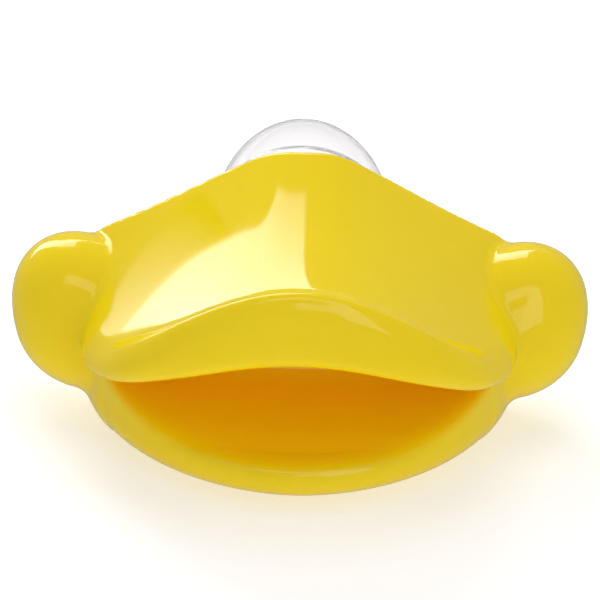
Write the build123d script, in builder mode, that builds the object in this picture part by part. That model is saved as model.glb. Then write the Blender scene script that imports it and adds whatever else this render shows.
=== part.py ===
from build123d import *

import os

# A duck-bill pacifier: a glossy hollow bill, the curved shield that closes its back and rests on the
# face, and a clear silicone nipple clamped through the shield.
#
# Millimetres, +Z up, +Y from the bill towards the wearer. The origin is the middle of the flat foot
# under the lower bill.

# ---- Driving dimensions -------------------------------------------------------------------------
OVERALL_WIDTH = 58.0
BILL_REACH = 24.0  # lip front to the back of the moulding, on the centre line
RIDGE_HEIGHT = 30.0  # root of the upper bill, above the table
AXIS_HEIGHT = 13.2  # nipple axis above the table
WALL = 1.8

BACK_Y = 10.0  # back of the moulding, on the centre line
BEHIND_Y = 40.0  # well behind the moulding, where the solids run to before the back is cut
LIP_FRONT_Y = BACK_Y - BILL_REACH

# Upper bill
LIP_HALF_WIDTH = 22.2
LIP_PLAN_CENTRE_Y = 5.0
LIP_PLAN_POWER = 2.3
RIDGE_FALL = 4.6  # root to lip
RIDGE_FALL_POWER = 1.7  # over 1, so that the ridge is hollow seen from the side
RIDGE_ROUNDING = 3.9  # half width of the flat along the ridge
FLANK_SLOPE = 0.625
FLANK_ARCH = 0.0041  # fall of the flanks beyond their slope, per square millimetre across
LIP_ARCH = 0.0275
ROOF_HEIGHT = 16.6  # underside of the upper bill, on the centre line
ROOF_ARCH = 0.0202

# Lower bill
JAW_HALF_WIDTH = 21.8
JAW_FRONT_Y = -13.25
JAW_PLAN_CENTRE_Y = 10.2
JAW_PLAN_POWER = 1.9
JAW_RIM_TOP = 5.7
JAW_RIM_BOTTOM = 2.7
JAW_RIM_THICKNESS = 2.4
JAW_FLOOR_HEIGHT = 2.4  # at the front; the floor slopes up from there
JAW_FLOOR_BACK_HEIGHT = 7.0
FOOT_HALF_WIDTH = 13.0
FOOT_FRONT_Y = -8.0

# Root of the bill, behind the mouth
MOUTH_BACK_Y = 3.0
MOUTH_BACK_WALL = 1.5
ROOT_HALF_WIDTH = 20.5
ROOT_CORNER_Z = 4.0
ROOT_SHOULDER_Z = 14.0
ROOT_TOP_HALF_WIDTH = 8.0
ROOT_TOP_Z = 22.0

# Cheeks
CHEEK_RADIUS = 7.8
CHEEK_X = OVERALL_WIDTH / 2 - CHEEK_RADIUS
CHEEK_Y = 9.5
CHEEK_Z = 10.8

# Hollow inside the bill
HOLLOW_HALF_WIDTH = 15.0
CHEEK_HOLLOW_RADIUS = 3.9
HOLLOW_FRONT_Y = LIP_FRONT_Y + 5.0

# Shield
FACE_RADIUS = 65.0
FACE_CENTRE_Y = BACK_Y + FACE_RADIUS
SHIELD_THICKNESS = 1.6
SHIELD_REVEAL = 1.2  # edge of the moulding left showing round the shield
SHIELD_GAP = 0.1
EAR_RADIUS = 4.5  # the shield's round ends, behind the cheeks
SHIELD_FRONT_Y = BACK_Y - SHIELD_THICKNESS
BOSS_RADIUS = 10.2
VENT_RADIUS = 2.75
VENT_WALL = 1.0
VENT_X = 13.0
VENT_Z = 9.8

# Nipple and the two rigid pieces that hold it
NIPPLE_WALL = 1.2
NECK_RADIUS = 5.5
NECK_GAP = 0.1
FLANGE_RADIUS = 8.0
FLANGE_THICKNESS = 1.4
BULB_RADIUS = 9.1
BULB_START_Y = 14.0
BULB_WIDEST_Y = 24.6
TIP_Y = 40.1
BEND_Y = 13.0  # centre of the neck's bend
BEND_CLEARANCE = 0.3
RING_OUTER_RADIUS = 9.4
PLUG_HEAD_RADIUS = 5.2
PLUG_END_Y = 12.0
PLUG_BORE_RADIUS = 1.0

STEPS = 8  # half the number of spans in a curve that follows a formula

# Stacked from the mouth's back wall to the shield: lock ring, then flange.
FLANGE_FRONT_Y = SHIELD_FRONT_Y - FLANGE_THICKNESS
RING_FRONT_Y = MOUTH_BACK_Y + MOUTH_BACK_WALL
RING_THICKNESS = FLANGE_FRONT_Y - RING_FRONT_Y
CHEEK_CENTRES = [(CHEEK_X, CHEEK_Y, CHEEK_Z), (-CHEEK_X, CHEEK_Y, CHEEK_Z)]
NIPPLE_AXIS = Axis((0, 0, AXIS_HEIGHT), (0, 1, 0))


# ---- Shapes used more than once -----------------------------------------------------------------
def reach_of(y):
    """Share of the way from the back of the moulding to the lip's front."""
    return min(max((BACK_Y - y) / BILL_REACH, 0.0), 1.0)


def bill_top(x, y):
    """Height of the upper bill: a rounded roof at its root, turning into a plain arch at the lip."""
    reach = reach_of(y)
    ridge = RIDGE_HEIGHT - RIDGE_FALL * (1 - (1 - reach) ** RIDGE_FALL_POWER)
    roof = FLANK_SLOPE * ((x**4 + RIDGE_ROUNDING**4) ** 0.25 - RIDGE_ROUNDING) + FLANK_ARCH * x**2
    arch = LIP_ARCH * x**2
    return ridge - (1 - reach) * roof - reach * arch


def bill_underside(x):
    """Height of the mouth's arched roof."""
    return ROOF_HEIGHT - ROOF_ARCH * x**2


def spread(half_width):
    """Evenly spaced places across the bill."""
    return [half_width * i / STEPS for i in range(-STEPS, STEPS + 1)]


def bill_section(y, half_width, inset):
    """Upright slice at y, from the upper bill's top down to the lower bill."""
    with BuildSketch(Plane.XZ.offset(-y)) as section:
        with BuildLine():
            top = Spline(*[(x, bill_top(x, y) - inset) for x in spread(half_width)])
            Polyline(top @ 0, (-half_width, JAW_FLOOR_HEIGHT), (half_width, JAW_FLOOR_HEIGHT), top @ 1)
        make_face()
    return section.sketch


def below_roof(rise):
    """Front view of everything under the mouth's arched roof, or under a line above it."""
    half_width = OVERALL_WIDTH / 2
    with BuildSketch(Plane.XZ) as below:
        with BuildLine():
            roof = Spline(*[(x, bill_underside(x) + rise) for x in spread(half_width)])
            Polyline(roof @ 0, (-half_width, -half_width), (half_width, -half_width), roof @ 1)
        make_face()
    return below.sketch


def bill_plan(z, half_width, front_y, centre_y, power):
    """Plan outline of a bill at height z: half a superellipse, carried straight back."""
    outline = []
    for across in spread(1.0):
        x = Vector(1, 0).rotate(Axis.Z, 90 * across).Y
        y = centre_y - (centre_y - front_y) * (1 - abs(x) ** power) ** (1 / power)
        outline.append((half_width * x, y))
    with BuildSketch(Plane.XY.offset(z)) as plan:
        with BuildLine():
            front = Spline(*outline, tangents=((0, -1), (0, 1)))
            Polyline(front @ 1, (half_width, BEHIND_Y), (-half_width, BEHIND_Y), front @ 0)
        make_face()
    return plan.sketch


def lip_plan(inset):
    """Plan outline of the upper bill."""
    half_width = LIP_HALF_WIDTH - inset
    return bill_plan(0, half_width, LIP_FRONT_Y + inset, LIP_PLAN_CENTRE_Y, LIP_PLAN_POWER)


def jaw_plan(z, inset):
    """Plan outline of the lower bill."""
    half_width = JAW_HALF_WIDTH - inset
    return bill_plan(z, half_width, JAW_FRONT_Y + inset, JAW_PLAN_CENTRE_Y, JAW_PLAN_POWER)


def foot_plan(z):
    """Plan outline of the flat foot."""
    return bill_plan(z, FOOT_HALF_WIDTH, FOOT_FRONT_Y, JAW_PLAN_CENTRE_Y, JAW_PLAN_POWER)


def root_outline(y, inset):
    """Front view of the bill's root, which joins the upper bill to the lower one."""
    half = [
        (FOOT_HALF_WIDTH - inset / 2, inset),
        (ROOT_HALF_WIDTH - inset, ROOT_CORNER_Z + inset / 2),
        (ROOT_HALF_WIDTH - inset, ROOT_SHOULDER_Z - inset / 2),
        (ROOT_TOP_HALF_WIDTH - inset / 2, ROOT_TOP_Z - inset),
    ]
    with BuildSketch(Plane.XZ.offset(-y)) as outline:
        with BuildLine():
            Polyline(*half, *[(-x, z) for x, z in reversed(half)], close=True)
        make_face()
    return outline.sketch


def shield_outline(reveal):
    """Front view of the shield: the back of the moulding, less a reveal all round."""
    half_width = ROOT_HALF_WIDTH - reveal
    with BuildSketch(Plane.XZ) as outline:
        with BuildLine():
            top = Spline(*[(x, bill_top(x, BACK_Y) - reveal) for x in spread(half_width)])
            Polyline(
                top @ 1,
                (half_width, ROOT_CORNER_Z),
                (FOOT_HALF_WIDTH, reveal),
                (-FOOT_HALF_WIDTH, reveal),
                (-half_width, ROOT_CORNER_Z),
                top @ 0,
            )
        make_face()
        with Locations((CHEEK_X, CHEEK_Z), (-CHEEK_X, CHEEK_Z)):
            Circle(EAR_RADIUS + SHIELD_REVEAL - reveal)
    return outline.sketch


def face_disc(radius):
    """Plan of the cylinder that the face side, or an offset of it, lies on."""
    with BuildSketch(Plane.XY.offset(-1)) as disc:
        with Locations((0, FACE_CENTRE_Y)):
            Circle(radius)
    return disc.sketch


def nipple_section(start_y, inset):
    """Half section of the nipple behind the shield: neck, bulb and tip."""
    neck = AXIS_HEIGHT + NECK_RADIUS - inset
    widest = (BULB_WIDEST_Y, AXIS_HEIGHT + BULB_RADIUS - inset)
    half_length = TIP_Y - BULB_WIDEST_Y - inset
    with BuildSketch(Plane.YZ) as section:
        with BuildLine():
            Polyline((TIP_Y - inset, AXIS_HEIGHT), (start_y, AXIS_HEIGHT), (start_y, neck), (BULB_START_Y, neck))
            Spline((BULB_START_Y, neck), widest, tangents=((1, 0), (1, 0)))
            EllipticalCenterArc((BULB_WIDEST_Y, AXIS_HEIGHT), half_length, BULB_RADIUS - inset, arc_size=90)
        make_face()
    return section.sketch


def disc_at(y, radius):
    """Circle about the nipple's axis, at y."""
    with BuildSketch(Plane.XZ.offset(-y)) as disc:
        with Locations((0, AXIS_HEIGHT)):
            Circle(radius)
    return disc.sketch


def vents_at(y, radius):
    """The two vents' circles, at y."""
    with BuildSketch(Plane.XZ.offset(-y)) as vents:
        with Locations((VENT_X, VENT_Z), (-VENT_X, VENT_Z)):
            Circle(radius)
    return vents.sketch


# ---- Spaces cut out of the bill -----------------------------------------------------------------
# The bowl of the lower bill: a floor that slopes up to the mouth's back wall.
with BuildPart() as bowl_space:
    extrude(jaw_plan(JAW_FLOOR_HEIGHT, JAW_RIM_THICKNESS), amount=RIDGE_HEIGHT)
    with BuildSketch(Plane.YZ):
        with BuildLine():
            Polyline(
                (JAW_FRONT_Y, JAW_FLOOR_HEIGHT),
                (MOUTH_BACK_Y, JAW_FLOOR_BACK_HEIGHT),
                (MOUTH_BACK_Y, JAW_FLOOR_BACK_HEIGHT + 0.5),
                (JAW_FRONT_Y, JAW_FLOOR_BACK_HEIGHT + 0.5),
                close=True,
            )
        make_face()
    extrude(amount=OVERALL_WIDTH, both=True, mode=Mode.INTERSECT)

# The hollow behind the mouth, open at the back: the root less its walls, and a well in each cheek.
with BuildPart() as root_hollow:
    extrude(root_outline(MOUTH_BACK_Y + MOUTH_BACK_WALL, WALL), amount=-BEHIND_Y)
    with BuildSketch(Plane.XZ.offset(-MOUTH_BACK_Y - MOUTH_BACK_WALL)):
        with Locations((CHEEK_X, CHEEK_Z), (-CHEEK_X, CHEEK_Z)):
            Circle(CHEEK_HOLLOW_RADIUS)
    extrude(amount=-BEHIND_Y)

# The core of the upper bill, reached from the same hollow.
with BuildPart() as bill_hollow:
    for i in range(STEPS):
        hollow_y = HOLLOW_FRONT_Y + i * (BEHIND_Y / 2 - HOLLOW_FRONT_Y) / (STEPS - 1)
        add(bill_section(hollow_y, HOLLOW_HALF_WIDTH, WALL))
    loft()
    extrude(lip_plan(5.0), amount=2 * RIDGE_HEIGHT, mode=Mode.INTERSECT)
    extrude(below_roof(WALL), amount=2 * BEHIND_Y, both=True, mode=Mode.SUBTRACT)

# The recess that the shield sits in, flush with the back.
with BuildPart() as shield_recess:
    extrude(shield_outline(SHIELD_REVEAL - SHIELD_GAP), amount=-BEHIND_Y)
    extrude(face_disc(FACE_RADIUS + SHIELD_THICKNESS), amount=2 * RIDGE_HEIGHT, mode=Mode.INTERSECT)

# ---- Bill moulding ------------------------------------------------------------------------------
with BuildPart() as bill_shell:
    # upper bill, cut to its plan outline and its arched underside
    for i in range(STEPS):
        section_y = LIP_FRONT_Y - 1 + i * (BEHIND_Y / 2 - LIP_FRONT_Y) / (STEPS - 1)
        add(bill_section(section_y, LIP_HALF_WIDTH + 1, 0))
    loft()
    extrude(lip_plan(0), amount=2 * RIDGE_HEIGHT, mode=Mode.INTERSECT)
    extrude(below_roof(0), amount=2 * BEHIND_Y, both=True, mode=Mode.SUBTRACT)

    # lower bill: a rim on a bowl that narrows to the foot
    extrude(jaw_plan(JAW_RIM_BOTTOM, 0), amount=JAW_RIM_TOP - JAW_RIM_BOTTOM)
    add(foot_plan(0))
    add(jaw_plan(JAW_RIM_BOTTOM, 0))
    loft()

    # root and cheeks
    extrude(root_outline(MOUTH_BACK_Y, 0), amount=-BEHIND_Y)
    with Locations(*CHEEK_CENTRES):
        Sphere(CHEEK_RADIUS)

    # bowl, hollow, curved back, recess for the shield, and the two vent holes
    add(bowl_space.part, mode=Mode.SUBTRACT)
    add(root_hollow.part, mode=Mode.SUBTRACT)
    add(bill_hollow.part, mode=Mode.SUBTRACT)
    extrude(face_disc(FACE_RADIUS), amount=2 * RIDGE_HEIGHT, mode=Mode.SUBTRACT)
    add(shield_recess.part, mode=Mode.SUBTRACT)
    extrude(vents_at(MOUTH_BACK_Y - 1, VENT_RADIUS), amount=-MOUTH_BACK_WALL - 2, mode=Mode.SUBTRACT)

with BuildPart() as face_shield:
    extrude(shield_outline(SHIELD_REVEAL), amount=-BEHIND_Y)
    extrude(face_disc(FACE_RADIUS + SHIELD_THICKNESS), amount=2 * RIDGE_HEIGHT, mode=Mode.INTERSECT)
    # flat seat for the nipple's flange, and the two vent tubes
    extrude(disc_at(SHIELD_FRONT_Y, BOSS_RADIUS), amount=-SHIELD_THICKNESS)
    extrude(vents_at(RING_FRONT_Y, VENT_RADIUS + VENT_WALL), amount=-BILL_REACH / 3)
    extrude(face_disc(FACE_RADIUS), amount=2 * RIDGE_HEIGHT, mode=Mode.SUBTRACT)
    extrude(disc_at(0, NECK_RADIUS + NECK_GAP), amount=-BEHIND_Y, mode=Mode.SUBTRACT)
    extrude(vents_at(0, VENT_RADIUS), amount=-BEHIND_Y, mode=Mode.SUBTRACT)

# ---- Nipple -------------------------------------------------------------------------------------
with BuildPart() as nipple_root:
    extrude(disc_at(FLANGE_FRONT_Y, FLANGE_RADIUS), amount=-FLANGE_THICKNESS)
    extrude(disc_at(FLANGE_FRONT_Y, NECK_RADIUS), amount=-(BEND_Y - FLANGE_FRONT_Y))
    with Locations((0, BEND_Y, AXIS_HEIGHT)):
        Sphere(NECK_RADIUS)
    extrude(disc_at(0, NECK_RADIUS - NIPPLE_WALL), amount=-BEND_Y, mode=Mode.SUBTRACT)
    with Locations((0, BEND_Y, AXIS_HEIGHT)):
        Sphere(NECK_RADIUS - NIPPLE_WALL, mode=Mode.SUBTRACT)

with BuildPart() as nipple_bulb:
    revolve(nipple_section(BEND_Y, 0), axis=NIPPLE_AXIS)
    revolve(nipple_section(BEND_Y, NIPPLE_WALL), axis=NIPPLE_AXIS, mode=Mode.SUBTRACT)
    with Locations((0, BEND_Y, AXIS_HEIGHT)):
        Sphere(NECK_RADIUS + BEND_CLEARANCE, mode=Mode.SUBTRACT)

with BuildPart() as lock_ring:
    extrude(disc_at(RING_FRONT_Y, RING_OUTER_RADIUS), amount=-RING_THICKNESS)
    extrude(disc_at(RING_FRONT_Y, PLUG_HEAD_RADIUS + NECK_GAP), amount=-RING_THICKNESS, mode=Mode.SUBTRACT)

with BuildPart() as retaining_plug:
    extrude(disc_at(RING_FRONT_Y, PLUG_HEAD_RADIUS), amount=-RING_THICKNESS)
    extrude(disc_at(FLANGE_FRONT_Y, NECK_RADIUS - NIPPLE_WALL), amount=-(PLUG_END_Y - FLANGE_FRONT_Y))
    extrude(disc_at(RING_FRONT_Y, PLUG_BORE_RADIUS), amount=-BEHIND_Y, mode=Mode.SUBTRACT)

bill_shell.part.label = "bill_shell"
face_shield.part.label = "face_shield"
nipple_root.part.label = "nipple_root"
nipple_bulb.part.label = "nipple_bulb"
lock_ring.part.label = "lock_ring"
retaining_plug.part.label = "retaining_plug"

os.makedirs("parts", exist_ok=True)
export_step(bill_shell.part, "parts/bill_shell.step")
export_step(face_shield.part, "parts/face_shield.step")
export_step(nipple_root.part, "parts/nipple_root.step")
export_step(nipple_bulb.part, "parts/nipple_bulb.step")
export_step(lock_ring.part, "parts/lock_ring.step")
export_step(retaining_plug.part, "parts/retaining_plug.step")
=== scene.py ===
import math

import bpy
import numpy as np
from mathutils import Matrix, Vector


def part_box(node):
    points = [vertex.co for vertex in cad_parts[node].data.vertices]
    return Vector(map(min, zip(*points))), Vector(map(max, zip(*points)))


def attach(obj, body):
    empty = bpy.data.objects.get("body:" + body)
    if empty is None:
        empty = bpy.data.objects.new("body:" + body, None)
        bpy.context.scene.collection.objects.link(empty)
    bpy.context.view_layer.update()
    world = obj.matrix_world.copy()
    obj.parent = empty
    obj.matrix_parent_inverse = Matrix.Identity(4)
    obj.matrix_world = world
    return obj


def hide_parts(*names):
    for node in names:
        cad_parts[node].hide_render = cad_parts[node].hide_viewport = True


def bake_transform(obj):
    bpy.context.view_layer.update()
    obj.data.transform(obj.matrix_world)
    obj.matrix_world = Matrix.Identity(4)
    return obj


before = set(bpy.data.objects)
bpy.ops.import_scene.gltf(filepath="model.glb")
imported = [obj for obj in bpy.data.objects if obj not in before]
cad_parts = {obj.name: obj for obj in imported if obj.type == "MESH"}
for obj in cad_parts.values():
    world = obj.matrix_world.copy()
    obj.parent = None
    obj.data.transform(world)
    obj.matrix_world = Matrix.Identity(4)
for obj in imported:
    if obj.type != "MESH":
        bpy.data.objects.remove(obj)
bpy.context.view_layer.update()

# A duck-bill pacifier: a glossy yellow bill with a cheek at each side, a curved shield behind it and a
# clear nipple. Shapes are worked out in millimetres and become metres when a mesh is made.
MM = 0.001


def node_box(node):
    """Lowest and highest corner of a CAD node, in millimetres."""
    return [np.array(corner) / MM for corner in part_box(node)]


# ---- Sizes shared by several pieces --------------------------------------------------------------
SHELL_LOW, SHELL_HIGH = node_box("bill_shell")
SHIELD_LOW, SHIELD_HIGH = node_box("face_shield")
ROOT_LOW, ROOT_HIGH = node_box("nipple_root")
BULB_LOW, BULB_HIGH = node_box("nipple_bulb")

LIP_FRONT = SHELL_LOW[1]
AXIS_HEIGHT = (ROOT_LOW[2] + ROOT_HIGH[2]) / 2
BACK = 10.0  # back of the moulding, on its centre line
REACH = BACK - LIP_FRONT
FACE_RADIUS = 65.0  # of the upright cylinder that the back lies on
WALL = 1.8
PLATE = 1.6  # thickness of the shield
HOLLOW_FRONT = 4.5  # where the hollow behind the mouth, and the vent tubes in it, begin
VENT_X, VENT_Z = 13.0, 9.8
VENT_BORE, VENT_TUBE = 2.75, 3.75

# Formulas give a height's error; times these, it is about the distance to a sloping surface.
TOP_LEAN = 0.86
MOUTH_LEAN = 0.9


# ---- Distance formulas: negative inside, in millimetres ------------------------------------------
def join(a, b, round_off):
    """Union of two shapes, with a smooth fillet of about that width."""
    share = np.clip(0.5 + 0.5 * (b - a) / round_off, 0.0, 1.0)
    return b + (a - b) * share - round_off * share * (1.0 - share)


def overlap(a, b, round_off):
    """Intersection of two shapes, with its edge rounded over about that width."""
    return -join(-a, -b, round_off)


def ease(value, start, end):
    """0 before start, 1 after end, smooth in between."""
    share = np.clip((value - start) / (end - start), 0.0, 1.0)
    return share**2 * (3.0 - 2.0 * share)


def half_superellipse(x, y, half_width, front, middle, power):
    """Plan outline of a bill: superellipse ahead of middle, straight sides behind it."""
    forward = np.maximum(middle - y, 0.0) / (middle - front)
    radius = (np.abs(x / half_width) ** power + forward**power) ** (1.0 / power)
    return (radius - 1.0) * half_width


# Upper bill
RIDGE_HEIGHT, RIDGE_FALL, RIDGE_POWER = 29.4, 4.6, 1.7
ROOF_SLOPE, ROOF_ROUND, ROOF_CURVE = 0.625, 3.9, 0.0041
LIP_ARCH = 0.031
MOUTH_HEIGHT, MOUTH_ARCH = 16.6, 0.0178
UPPER_HALF_WIDTH, UPPER_MIDDLE, UPPER_POWER = 22.9, 5.0, 2.7
ROOT_TAPER = 0.06
BEAD_HEIGHT, BEAD_INSET, BEAD_WIDTH = 0.36, 1.6, 0.8
LIP_ROUND, UNDERSIDE_ROUND, CORNER_ROUND = 2.7, 3.0, 2.0


def bill_top(x, y):
    """Height of the upper bill: a rounded roof at its root, a plain arch at the lip."""
    reach = np.clip((BACK - y) / REACH, -0.3, 1.2)
    ridge = RIDGE_HEIGHT - RIDGE_FALL * (1.0 - np.maximum(1.0 - reach, 0.0) ** RIDGE_POWER)
    roof = ROOF_SLOPE * ((x**4 + ROOF_ROUND**4) ** 0.25 - ROOF_ROUND) + ROOF_CURVE * x**2
    arch = LIP_ARCH * x**2
    return ridge - (1.0 - reach) * roof - reach * arch


def mouth_roof(x):
    """Height of the upper bill's underside."""
    return MOUTH_HEIGHT - MOUTH_ARCH * x**2


def upper_bill(x, y, z):
    """Slab between the bill's top and the mouth's roof, a little narrower at its root, beaded at its lip."""
    side = np.abs(x)
    tapered = x * (1.0 + ROOT_TAPER * ease(y, -3.0, 9.0))
    outline = half_superellipse(tapered, y, UPPER_HALF_WIDTH, LIP_FRONT, UPPER_MIDDLE, UPPER_POWER)
    bead = BEAD_HEIGHT * np.exp(-(((outline + BEAD_INSET) / BEAD_WIDTH) ** 2))
    bead = bead * (1.0 - ease(side, 17.5, 20.5)) * (1.0 - ease(y, -8.0, -3.0))
    slab = overlap((z - bill_top(x, y) - bead) * TOP_LEAN, outline, LIP_ROUND)
    underside = (mouth_roof(x) - z) * MOUTH_LEAN
    return overlap(slab, underside, UNDERSIDE_ROUND + CORNER_ROUND * ease(side, 8.0, 22.0))


# Lower bill
LOWER_HALF_WIDTH, LOWER_MIDDLE, LOWER_POWER = 21.8, 10.2, 1.9
LOWER_SETBACK = 0.75  # how far its front lies behind the lip's
RIM_WIDTH = 2.2
RIM_HEIGHT, RIM_RISE = 5.7, 4.5
KEEL_LIFT, KEEL_POWER = 2.3, 5
BOWL_HEIGHT, BOWL_LIFT, THROAT_LIFT = 3.2, 2.6, 4.0


def jaw_plan(x, y, inset=0.0):
    """Plan outline of the lower bill."""
    front = LIP_FRONT + LOWER_SETBACK + inset
    return half_superellipse(x, y, LOWER_HALF_WIDTH - inset, front, LOWER_MIDDLE, LOWER_POWER)


def lower_bill(x, y, z):
    """Lower bill before its bowl is cut: rounded keel below, rim that rises towards the throat."""
    outline = jaw_plan(x, y)
    keel = KEEL_LIFT * np.maximum(outline / LOWER_HALF_WIDTH + 1.0, 0.0) ** KEEL_POWER
    rim = RIM_HEIGHT + RIM_RISE * ease(y, -13.0, 3.0)
    return overlap(overlap(outline, keel - z, 2.4), z - rim, 2.2)


def bill_root(x, y, z):
    """Block behind the mouth that carries both bills."""
    top = (z - bill_top(x, np.maximum(y, 2.0)) + 2.0) * TOP_LEAN
    block = overlap(jaw_plan(x, y) + 0.2, top, 2.0)
    block = overlap(block, 0.004 * x**2 - z, 4.0)
    return overlap(block, 1.0 - y, 1.0)


def mouth(x, y, z):
    """Space between the bills, with a bowl for a floor that climbs towards the throat."""
    across = jaw_plan(x, y, RIM_WIDTH) / (LOWER_HALF_WIDTH - RIM_WIDTH) + 1.0
    bowl = BOWL_HEIGHT + BOWL_LIFT * np.maximum(across, 0.0) ** 3
    bowl = bowl + THROAT_LIFT * np.clip((y + 9.0) / 12.0, 0.0, 1.2) ** 1.3
    space = overlap((bowl - z) * MOUTH_LEAN, y - 3.5, 2.5)
    space = np.maximum(space, z - mouth_roof(x) - 0.5)
    return overlap(space, np.abs(x) - 20.0, 2.0)


# Cheeks: centre and radius of each ball, the large one a little wider than it is tall
CHEEK_X, CHEEK_Y, CHEEK_Z = 20.65, 9.8, 10.4
CHEEK_HALF_WIDTH, CHEEK_RADIUS = 8.1, 7.65
BUMP_X, BUMP_Z, BUMP_RADIUS = 23.15, 13.3, 5.6


def cheeks(x, y, z):
    """Each cheek is a large ball, with a smaller one high on its outer side."""
    side = np.abs(x)
    depth, height = (y - CHEEK_Y) / CHEEK_RADIUS, (z - CHEEK_Z) / CHEEK_RADIUS
    large = np.sqrt(((side - CHEEK_X) / CHEEK_HALF_WIDTH) ** 2 + depth**2 + height**2)
    small = np.sqrt((side - BUMP_X) ** 2 + (y - CHEEK_Y) ** 2 + (z - BUMP_Z) ** 2)
    return join((large - 1.0) * CHEEK_RADIUS, small - BUMP_RADIUS, 1.6)


def inside_face(x, y, radius):
    """Depth inside the upright cylinder that the back of the pacifier lies on."""
    return radius - np.sqrt(x**2 + (y - BACK - FACE_RADIUS) ** 2)


def vents(x, z, radius):
    """Both air vents, as round rods along Y."""
    return np.sqrt((np.abs(x) - VENT_X) ** 2 + (z - VENT_Z) ** 2) - radius


# Shield
SHIELD_REVEAL = 1.9  # how far its arch lies under the bill's top
SHIELD_BOTTOM, SHIELD_HALF_WIDTH = 1.2, 19.3
FLARE_FOOT, FLARE_SLOPE, FLARE_LEAN = 14.4, 1.5, 0.55
EAR_X, EAR_Z, EAR_RADIUS = 21.0, 10.9, 4.4
SEAT_RADIUS, SEAT_FRONT = 10.2, 8.4
NECK_HOLE = 5.6


def shield_outline(x, z):
    """Front view of the shield: an arch over a flat bottom, with a round end behind each cheek."""
    side = np.abs(x)
    arch = (z - bill_top(x, BACK) + SHIELD_REVEAL) * TOP_LEAN
    plate = overlap(arch, side - SHIELD_HALF_WIDTH, 1.5)
    plate = overlap(plate, SHIELD_BOTTOM - z, 1.5)
    plate = overlap(plate, (side - FLARE_FOOT - z * FLARE_SLOPE) * FLARE_LEAN, 3.0)
    ear = np.sqrt((side - EAR_X) ** 2 + (z - EAR_Z) ** 2) - EAR_RADIUS
    return join(plate, ear, 1.0)


def shield_body(x, y, z):
    """Curved plate with a seat round the nipple and two vent tubes."""
    radial = np.sqrt(x**2 + (z - AXIS_HEIGHT) ** 2)
    plate = np.maximum(shield_outline(x, z), -inside_face(x, y, FACE_RADIUS + PLATE))
    plate = np.minimum(plate, np.maximum(radial - SEAT_RADIUS, SEAT_FRONT - y))
    plate = join(plate, np.maximum(vents(x, z, VENT_TUBE), HOLLOW_FRONT - y), 0.3)
    plate = overlap(plate, inside_face(x, y, FACE_RADIUS), 0.5)
    plate = overlap(plate, NECK_HOLE - radial, 0.4)
    return overlap(plate, -vents(x, z, VENT_BORE), 0.6)


# Moulding
VENT_CUT_MIDDLE, VENT_CUT_HALF = 6.5, 3.5  # the bores stay behind the mouth
RECESS_GAP = 0.1


def outer_body(x, y, z):
    """Outside of the moulding, with its mouth open and its back cut to the face."""
    body = join(lower_bill(x, y, z), bill_root(x, y, z), 1.0)
    body = join(body, cheeks(x, y, z), 1.0)
    body = overlap(body, -mouth(x, y, z), 1.6)
    body = join(body, upper_bill(x, y, z), 0.7)
    body = overlap(body, inside_face(x, y, FACE_RADIUS), 0.5)
    return overlap(body, -z, 0.6)


def shell_body(x, y, z):
    """The hollow moulding: outer body, less the hollow behind the mouth, the recess and the vents."""
    body = outer_body(x, y, z)
    hollow = np.maximum(body + WALL, HOLLOW_FRONT - y)
    recess = np.maximum(shield_outline(x, z) - RECESS_GAP, -inside_face(x, y, FACE_RADIUS + PLATE))
    bores = np.maximum(vents(x, z, VENT_BORE), np.abs(y - VENT_CUT_MIDDLE) - VENT_CUT_HALF)
    body = overlap(body, -hollow, 0.4)
    body = overlap(body, -recess, 0.3)
    return overlap(body, -bores, 0.3)


# ---- From a formula to a mesh --------------------------------------------------------------------
GRID = 0.36
SLIDES = 4  # times that each vertex slides towards the surface
LONGEST_SLIDE = 0.3  # in grid steps
GRADIENT_REACH = 0.01


def add_object(name, data):
    """Object for a mesh, light or camera, linked into the scene."""
    added = bpy.data.objects.new(name, data)
    bpy.context.scene.collection.objects.link(added)
    return added


def make_mesh(name, points, faces, normals=None):
    """Smooth-shaded object from points in millimetres."""
    mesh = bpy.data.meshes.new(name)
    mesh.from_pydata((np.asarray(points) * MM).tolist(), [], faces)
    mesh.validate()
    mesh.shade_smooth()
    if normals is not None:
        mesh.normals_split_custom_set_from_vertices(normals.tolist())
    return add_object(name, mesh)


def slope(distance, points):
    """Gradient of a distance formula at each point."""
    columns = []
    for axis in range(3):
        ahead, behind = points.copy(), points.copy()
        ahead[:, axis] += GRADIENT_REACH
        behind[:, axis] -= GRADIENT_REACH
        columns.append((distance(*ahead.T) - distance(*behind.T)) / (2 * GRADIENT_REACH))
    return np.stack(columns, axis=1)


def cell_points(values, cells, corners):
    """Mean place, in grid steps, of where the surface crosses the edges of each cell."""
    total, hits = np.zeros((len(cells), 3)), np.zeros((len(cells), 1))
    for corner in corners:
        for axis in range(3):
            if corner[axis]:
                continue
            start, end = cells + corner, cells + corner
            end[:, axis] += 1
            a, b = values[tuple(start.T)], values[tuple(end.T)]
            crosses = ((a < 0) != (b < 0))[:, None]
            part = np.where(crosses[:, 0], a / np.where(a == b, 1.0, a - b), 0.0)
            total += (start + part[:, None] * (end - start)) * crosses
            hits += crosses
    return total / hits


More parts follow.
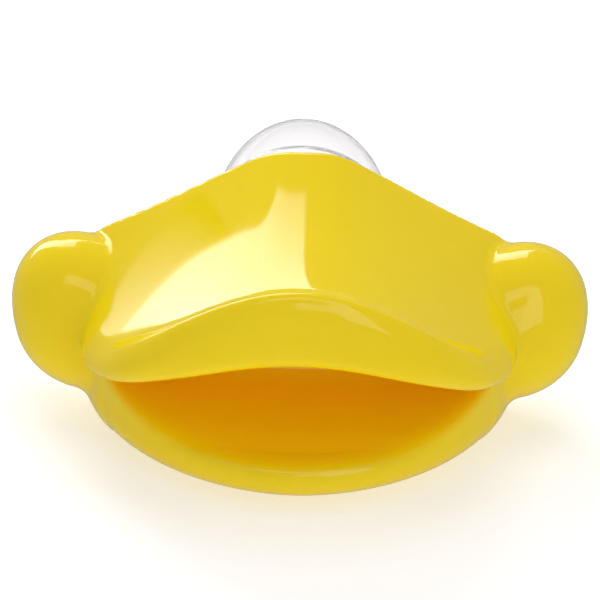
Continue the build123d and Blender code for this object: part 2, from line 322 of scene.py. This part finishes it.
def cut_edges(inside, number, count):
    """One quad round each grid edge that the surface cuts, facing outwards."""
    faces = []
    for axis in range(3):
        b, c = (axis + 1) % 3, (axis + 2) % 3
        near = np.take(inside, range(count[axis]), axis=axis)
        far = np.take(inside, range(1, count[axis] + 1), axis=axis)
        edges = np.argwhere(near != far)
        within = (edges[:, b] > 0) & (edges[:, c] > 0)
        within &= (edges[:, b] < count[b]) & (edges[:, c] < count[c])
        edges = edges[within]
        ring = []
        for step_b, step_c in ((1, 1), (0, 1), (0, 0), (1, 0)):
            cell = edges.copy()
            cell[:, b] -= step_b
            cell[:, c] -= step_c
            ring.append(number[tuple(cell.T)])
        quads = np.stack(ring, axis=1)
        outward = near[tuple(edges.T)]
        quads[~outward] = quads[~outward][:, ::-1]
        faces.append(quads)
    return np.concatenate(faces).tolist()


def surface_mesh(name, distance, low, high):
    """Closed mesh of quads on the surface where distance is zero, with that surface's own normals."""
    axes = [np.arange(a - 2.5 * GRID, b + 3.0 * GRID, GRID) for a, b in zip(low, high)]
    values = distance(*np.meshgrid(*axes, indexing="ij", sparse=True))
    inside = values < 0
    count = np.array(values.shape) - 1
    corners = [(i, j, k) for i in (0, 1) for j in (0, 1) for k in (0, 1)]

    # one vertex in each grid cell that the surface passes through
    filled = np.zeros(count, dtype=np.int8)
    for corner in corners:
        filled += inside[tuple(slice(c, c + n) for c, n in zip(corner, count))]
    cells = np.argwhere((filled > 0) & (filled < len(corners)))
    points = cell_points(values, cells, corners) * GRID + np.array([axis[0] for axis in axes])
    number = np.full(count, -1)
    number[tuple(cells.T)] = np.arange(len(cells))

    # slide the vertices onto the surface itself
    for _ in range(SLIDES):
        gradient = slope(distance, points)
        length = np.maximum(np.sum(gradient**2, axis=1, keepdims=True), 0.05)
        shift = distance(*points.T)[:, None] * gradient / length
        points -= np.clip(shift, -LONGEST_SLIDE * GRID, LONGEST_SLIDE * GRID)
    normals = slope(distance, points)
    normals /= np.maximum(np.linalg.norm(normals, axis=1, keepdims=True), 1e-9)
    return make_mesh(name, points, cut_edges(inside, number, count), normals)


def lathe(name, profile, around=96):
    """Closed skin of revolution about the nipple's axis, from a ring of (y, radius) pairs."""
    points, faces, rows = [], [], []
    for y, radius in profile:
        if radius < 1e-6:
            rows.append([len(points)] * around)
            points.append((0.0, y, AXIS_HEIGHT))
            continue
        rows.append(list(range(len(points), len(points) + around)))
        for i in range(around):
            turn = 2 * math.pi * i / around
            points.append((radius * math.cos(turn), y, AXIS_HEIGHT + radius * math.sin(turn)))
    for near, far in zip(rows, rows[1:] + rows[:1]):
        for i in range(around):
            j = (i + 1) % around
            ring = [near[i], far[i], far[j], near[j]]
            face = [p for n, p in enumerate(ring) if p not in ring[:n]]
            if len(face) > 2:
                faces.append(face)
    return make_mesh(name, points, faces)


# ---- Materials -----------------------------------------------------------------------------------
def new_material(name):
    """Principled material, with its node tree and its shader at hand."""
    material = bpy.data.materials.new(name)
    material.use_nodes = True
    tree = material.node_tree
    return material, tree, tree.nodes["Principled BSDF"]


def noise(tree, scale):
    """Soft noise fixed to the object."""
    place = tree.nodes.new("ShaderNodeTexCoord")
    texture = tree.nodes.new("ShaderNodeTexNoise")
    texture.inputs["Scale"].default_value = scale
    texture.inputs["Detail"].default_value = 3.0
    tree.links.new(place.outputs["Object"], texture.inputs["Vector"])
    return texture.outputs["Fac"]


def ramp(tree, source, low, high, start=0.35, end=0.65):
    """Colour ramp between two colours, driven by source."""
    colours = tree.nodes.new("ShaderNodeValToRGB")
    colours.color_ramp.elements[0].position = start
    colours.color_ramp.elements[0].color = (*low, 1.0)
    colours.color_ramp.elements[1].position = end
    colours.color_ramp.elements[1].color = (*high, 1.0)
    tree.links.new(source, colours.inputs["Fac"])
    return colours.outputs["Color"]


def colour_mix(tree, mode):
    """Factor, first colour, second colour and result of a new colour Mix node."""
    node = tree.nodes.new("ShaderNodeMix")
    node.data_type = "RGBA"
    node.blend_type = mode
    return node.inputs[0], node.inputs[6], node.inputs[7], node.outputs[2]


def painted(tree, layer):
    """Value of a mesh attribute, which is 0 on a mesh without it."""
    attribute = tree.nodes.new("ShaderNodeAttribute")
    attribute.attribute_name = layer
    return attribute.outputs["Fac"]


MOUTH_PAINTED_GLOW = 0.045  # painted light: the mouth's walls glow a little, standing in for the light that comes through the wall into the mouth


def yellow_plastic(name, gloss, tone=1.0):
    """Polished yellow moulding with faint flow marks, a little translucent.

    Where a mesh has the layers throat and mouth, the first deepens the colour towards orange as painted
    shade and the second makes it glow as painted light."""
    material, tree, shader = new_material(name)
    pale = (0.94 * tone, 0.70 * tone, 0.006)
    deep = (0.925 * tone, 0.68 * tone, 0.004)
    factor, outside, inside, colour = colour_mix(tree, "MIX")
    tree.links.new(painted(tree, "throat"), factor)
    tree.links.new(ramp(tree, noise(tree, 90.0), deep, pale), outside)
    # painted shade: the deeper orange that the throat layer mixes in towards the back of the mouth
    inside.default_value = (0.97 * tone, 0.55 * tone, 0.003, 1.0)
    tree.links.new(colour, shader.inputs["Base Color"])

    # painted light: the mouth layer makes the mouth's walls glow faint orange
    through = tree.nodes.new("ShaderNodeMath")
    through.operation = "MULTIPLY"
    through.inputs[1].default_value = MOUTH_PAINTED_GLOW
    tree.links.new(painted(tree, "mouth"), through.inputs[0])
    tree.links.new(through.outputs["Value"], shader.inputs["Emission Strength"])
    shader.inputs["Emission Color"].default_value = (1.0, 0.45, 0.0, 1.0)
    shader.inputs["Roughness"].default_value = gloss
    shader.inputs["IOR"].default_value = 1.5
    shader.inputs["Subsurface Weight"].default_value = 0.25
    shader.inputs["Subsurface Radius"].default_value = (1.0, 0.55, 0.1)
    shader.inputs["Subsurface Scale"].default_value = 1.2 * MM
    return material


def clear_silicone(name):
    """Clear rubber with a faint milky haze, with painted shade that darkens it where it is seen edge on, and
    a faint painted glow all over.
    """
    material, tree, shader = new_material(name)
    edge = tree.nodes.new("ShaderNodeLayerWeight")
    edge.inputs["Blend"].default_value = 0.5
    factor, body, rim, colour = colour_mix(tree, "MULTIPLY")
    factor.default_value = 1.0
    tree.links.new(ramp(tree, noise(tree, 140.0), (0.985, 0.98, 0.99), (0.995, 0.99, 0.995)), body)
    # painted shade: the base colour darkens where the rubber is seen edge on
    edge_shade = ramp(tree, edge.outputs["Facing"], (1.0, 1.0, 1.0), (0.62, 0.62, 0.64), 0.72, 0.97)
    tree.links.new(edge_shade, rim)
    tree.links.new(colour, shader.inputs["Base Color"])
    shader.inputs["Roughness"].default_value = 0.03
    shader.inputs["IOR"].default_value = 1.41
    shader.inputs["Specular IOR Level"].default_value = 0.25
    shader.inputs["Transmission Weight"].default_value = 0.9
    # painted light: a faint white glow over the whole nipple
    shader.inputs["Emission Color"].default_value = (1.0, 0.97, 1.0, 1.0)
    shader.inputs["Emission Strength"].default_value = 0.05
    return material


def white_plastic(name):
    """Plain white moulding with a fine grain."""
    material, tree, shader = new_material(name)
    grain = ramp(tree, noise(tree, 400.0), (0.80, 0.80, 0.77), (0.84, 0.84, 0.82))
    tree.links.new(grain, shader.inputs["Base Color"])
    shader.inputs["Roughness"].default_value = 0.4
    return material


# ---- Bill ----------------------------------------------------------------------------------------
def paint_mouth_shade_and_glow(piece):
    """Layers for the yellow plastic's painted shade and light: mouth marks the mouth's walls, which glow as
    painted light, and throat deepens them towards the back as painted shade.
    """
    x, y, z = np.array([tuple(vertex.co) for vertex in piece.data.vertices]).T / MM
    walls = (1.0 - ease(np.abs(mouth(x, y, z)), 0.4, 1.6)) * (1.0 - ease(y, 3.4, 4.2))
    # painted glow on the mouth's walls, and painted shade that grows towards the back
    for layer, weight in (("mouth", 1.0), ("throat", ease(y, -9.0, 3.0))):
        shade = piece.data.attributes.new(layer, "FLOAT", "POINT")
        shade.data.foreach_set("value", (walls * weight).astype(np.float32))


bill = surface_mesh("bill", shell_body, SHELL_LOW, SHELL_HIGH)
paint_mouth_shade_and_glow(bill)
bill.data.materials.append(yellow_plastic("glossy_bill", 0.07))
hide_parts("bill_shell")
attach(bill, "guard")

# ---- Shield --------------------------------------------------------------------------------------
shield = surface_mesh("shield", shield_body, SHIELD_LOW, SHIELD_HIGH)
shield.data.materials.append(yellow_plastic("shield_plastic", 0.16, 0.98))
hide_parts("face_shield")
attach(shield, "guard")

# ---- Nipple --------------------------------------------------------------------------------------
NECK_RADIUS = 5.5
NIPPLE_WALL = 0.35
NECK_INSET = NIPPLE_WALL - 0.1  # the neck's wall is a little thinner than the bulb's
BULB_RADIUS = (BULB_HIGH[0] - BULB_LOW[0]) / 2
BULB_HALF_LENGTH = 15.5
WIDEST = BULB_HIGH[1] - BULB_HALF_LENGTH
SWELL_START = 14.0
FLANGE_THICKNESS = 1.4
FLANGE_FRONT, FLANGE_BACK = ROOT_LOW[1], ROOT_LOW[1] + FLANGE_THICKNESS
FLANGE_RADIUS = (ROOT_HIGH[2] - ROOT_LOW[2]) / 2
EDGE = 0.3  # width of the flange's chamfers
NECK_STEPS, BULB_STEPS = 48, 40


def neck_radius(y):
    """Outer radius ahead of the widest place: a plain neck that swells into the bulb."""
    return NECK_RADIUS + (BULB_RADIUS - NECK_RADIUS) * float(ease(y, SWELL_START, WIDEST))


def nipple_profile():
    """Round the wall's section: flange, outside to the tip, and back along the inside."""
    section = [(FLANGE_FRONT, NECK_RADIUS - NECK_INSET), (FLANGE_FRONT, FLANGE_RADIUS - EDGE)]
    section += [(FLANGE_FRONT + EDGE, FLANGE_RADIUS), (FLANGE_BACK - EDGE, FLANGE_RADIUS)]
    section += [(FLANGE_BACK, FLANGE_RADIUS - EDGE), (FLANGE_BACK, NECK_RADIUS + EDGE)]
    neck_start = FLANGE_BACK + EDGE
    neck = [neck_start + (WIDEST - neck_start) * i / NECK_STEPS for i in range(NECK_STEPS)]
    turns = [0.5 * math.pi * i / BULB_STEPS for i in range(BULB_STEPS + 1)]
    section += [(y, neck_radius(y)) for y in neck]
    for inset, order in ((0.0, turns), (NIPPLE_WALL, turns[::-1])):
        length, radius = BULB_HALF_LENGTH - inset, BULB_RADIUS - inset
        for turn in order:
            section.append((WIDEST + length * math.sin(turn), radius * max(math.cos(turn), 0.0)))
    section += [(y, neck_radius(y) - NECK_INSET) for y in neck[::-1]]
    return section


nipple = lathe("nipple", nipple_profile())
nipple.data.materials.append(clear_silicone("clear_silicone"))
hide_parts("nipple_root", "nipple_bulb")
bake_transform(nipple)

# ---- Inner pieces that keep their CAD shape ------------------------------------------------------
for node, look in (("lock_ring", "ring_plastic"), ("retaining_plug", "plug_plastic")):
    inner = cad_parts[node]
    inner.data.materials.clear()
    inner.data.materials.append(white_plastic(look))

# ---- Floor and light, in metres ------------------------------------------------------------------
FLOOR_SIZE = 12.0
WORLD_STRENGTH = 0.34
WHITE = (1.0, 1.0, 1.0, 1.0)


def lit_floor():
    """White sweep that glows a little, so that the shadow on it stays faint."""
    half = FLOOR_SIZE / 2
    corners = [(-half, -half, 0), (half, -half, 0), (half, half, 0), (-half, half, 0)]
    mesh = bpy.data.meshes.new("floor")
    mesh.from_pydata(corners, [], [(0, 1, 2, 3)])
    material, _, shader = new_material("white_sweep")
    shader.inputs["Base Color"].default_value = (0.6, 0.6, 0.6, 1.0)
    shader.inputs["Roughness"].default_value = 0.9
    shader.inputs["Emission Color"].default_value = WHITE
    shader.inputs["Emission Strength"].default_value = 0.5
    mesh.materials.append(material)
    floor = add_object("floor", mesh)
    floor.visible_glossy = False


def softbox(name, centre, width, height, radiance):
    """Upright rectangular studio light that shines along +Y."""
    light = bpy.data.lights.new(name, "AREA")
    light.shape = "RECTANGLE"
    light.size, light.size_y = width, height
    light.energy = radiance * math.pi * width * height
    lamp = add_object(name, light)
    lamp.location = centre
    lamp.rotation_euler = (math.radians(90.0), 0.0, 0.0)
    lamp.visible_camera = False
    return lamp


def overhead_fill(centre, width, height, radiance):
    """Large soft light that shines straight down and doesn't show in the gloss."""
    lamp = softbox("overhead_fill", centre, width, height, radiance)
    lamp.rotation_euler = (0.0, 0.0, 0.0)
    lamp.visible_glossy = False


def glowing_panel(name, y, corners, radiance, slant, start, end):
    """Upright luminous panel at depth y, which dims to nothing as z + slant * x goes from start to end."""
    mesh = bpy.data.meshes.new(name)
    mesh.from_pydata([(x, y, z) for x, z in corners], [], [tuple(range(len(corners)))])
    material = bpy.data.materials.new(name)
    material.use_nodes = True
    tree = material.node_tree
    tree.nodes.clear()
    place = tree.nodes.new("ShaderNodeTexCoord")
    along = tree.nodes.new("ShaderNodeVectorMath")
    along.operation = "DOT_PRODUCT"
    along.inputs[1].default_value = (slant, 0.0, 1.0)
    dim = tree.nodes.new("ShaderNodeMapRange")
    dim.inputs["From Min"].default_value = start
    dim.inputs["From Max"].default_value = end
    dim.inputs["To Min"].default_value = radiance
    dim.inputs["To Max"].default_value = 0.0
    glow = tree.nodes.new("ShaderNodeEmission")
    output = tree.nodes.new("ShaderNodeOutputMaterial")
    tree.links.new(place.outputs["Object"], along.inputs[0])
    tree.links.new(along.outputs["Value"], dim.inputs["Value"])
    tree.links.new(dim.outputs["Result"], glow.inputs["Strength"])
    tree.links.new(glow.outputs["Emission"], output.inputs["Surface"])
    mesh.materials.append(material)
    panel = add_object(name, mesh)
    panel.visible_camera = False


# The window is a tall strip with a hollow round foot on its right, and spreads to the left below.
WINDOW_DEPTH = 1.0
WINDOW_RIGHT, WINDOW_TOP = 0.02, 1.6
FOOT_TIP, FOOT_RISE = (0.4, 0.55), 0.5
WINDOW_BASE = [(-0.8, 0.2), (-0.5, 0.2), (-0.25, 0.7), (WINDOW_RIGHT, 0.7)]
WINDOW_SIDE = [(WINDOW_RIGHT, WINDOW_TOP), (-0.4, WINDOW_TOP), (-0.75, 0.8)]
SIDE_LEFT, SIDE_RIGHT, SIDE_BOTTOM, SIDE_TOP = -1.0, -0.7, 0.2, 0.7
SIDE_DEPTH = 1.02


def window_foot(steps=8):
    """Hollow quarter round from the foot's tip up to the window's right side."""
    width = FOOT_TIP[0] - WINDOW_RIGHT
    angles = [0.5 * math.pi * (1.0 - i / steps) for i in range(steps + 1)]
    top = FOOT_TIP[1] + FOOT_RISE
    return [(FOOT_TIP[0] - width * math.cos(angle), top - FOOT_RISE * math.sin(angle)) for angle in angles]


lit_floor()
world = bpy.data.worlds.new("studio")
bpy.context.scene.world = world
world.use_nodes = True
sky = world.node_tree.nodes["Background"]
sky.inputs["Color"].default_value = WHITE
sky.inputs["Strength"].default_value = WORLD_STRENGTH

window = WINDOW_BASE + window_foot() + WINDOW_SIDE
side = [(SIDE_LEFT, SIDE_BOTTOM), (SIDE_RIGHT, SIDE_BOTTOM), (SIDE_RIGHT, SIDE_TOP), (SIDE_LEFT, SIDE_TOP)]
glowing_panel("window", WINDOW_DEPTH, window, 5.3, slant=0.5, start=0.8, end=2.3)
glowing_panel("side_panel", SIDE_DEPTH, side, 3.2, slant=0.0, start=0.1, end=0.66)
softbox("front_softbox", (0.62, -1.0, 1.1), 0.6, 1.8, 1.2)
softbox("top_softbox", (-0.2, -1.0, 1.65), 1.0, 0.9, 1.1)
softbox("low_softbox", (0.14, -1.0, 0.62), 0.36, 0.4, 0.9)
overhead_fill((0.0, 0.25, 1.6), 1.2, 1.2, 2.2)

# ---- Camera --------------------------------------------------------------------------------------
ELEVATION = math.radians(28.0)
ROLL = math.radians(1.36)
LENS = 1200.0
SENSOR = 36.0
PICTURE_WIDTH = 600.0
PICTURE_SCALE = 9.93  # of the picture's 600 parts, how many a millimetre takes up at the aim point
AIM_DROP = 0.735  # how far the aim point lies below the nipple's axis in the picture

up = Vector((0.0, math.sin(ELEVATION), math.cos(ELEVATION)))
to_camera = Vector((0.0, -math.cos(ELEVATION), math.sin(ELEVATION)))
aim = (Vector((0.0, BACK, AXIS_HEIGHT)) - up * AIM_DROP) * MM
camera_data = bpy.data.cameras.new("camera")
camera_data.lens = LENS
camera_data.sensor_width = SENSOR
camera_data.clip_start, camera_data.clip_end = 0.05, 20.0
camera = add_object("camera", camera_data)
camera.location = aim + to_camera * (LENS / SENSOR * PICTURE_WIDTH / PICTURE_SCALE * MM)
level = (-to_camera).to_track_quat("-Z", "Y").to_matrix().to_4x4()
camera.matrix_world = Matrix.Translation(camera.location) @ level @ Matrix.Rotation(ROLL, 4, "Z")
bpy.context.scene.camera = camera
bpy.context.scene.view_settings.view_transform = "Standard"
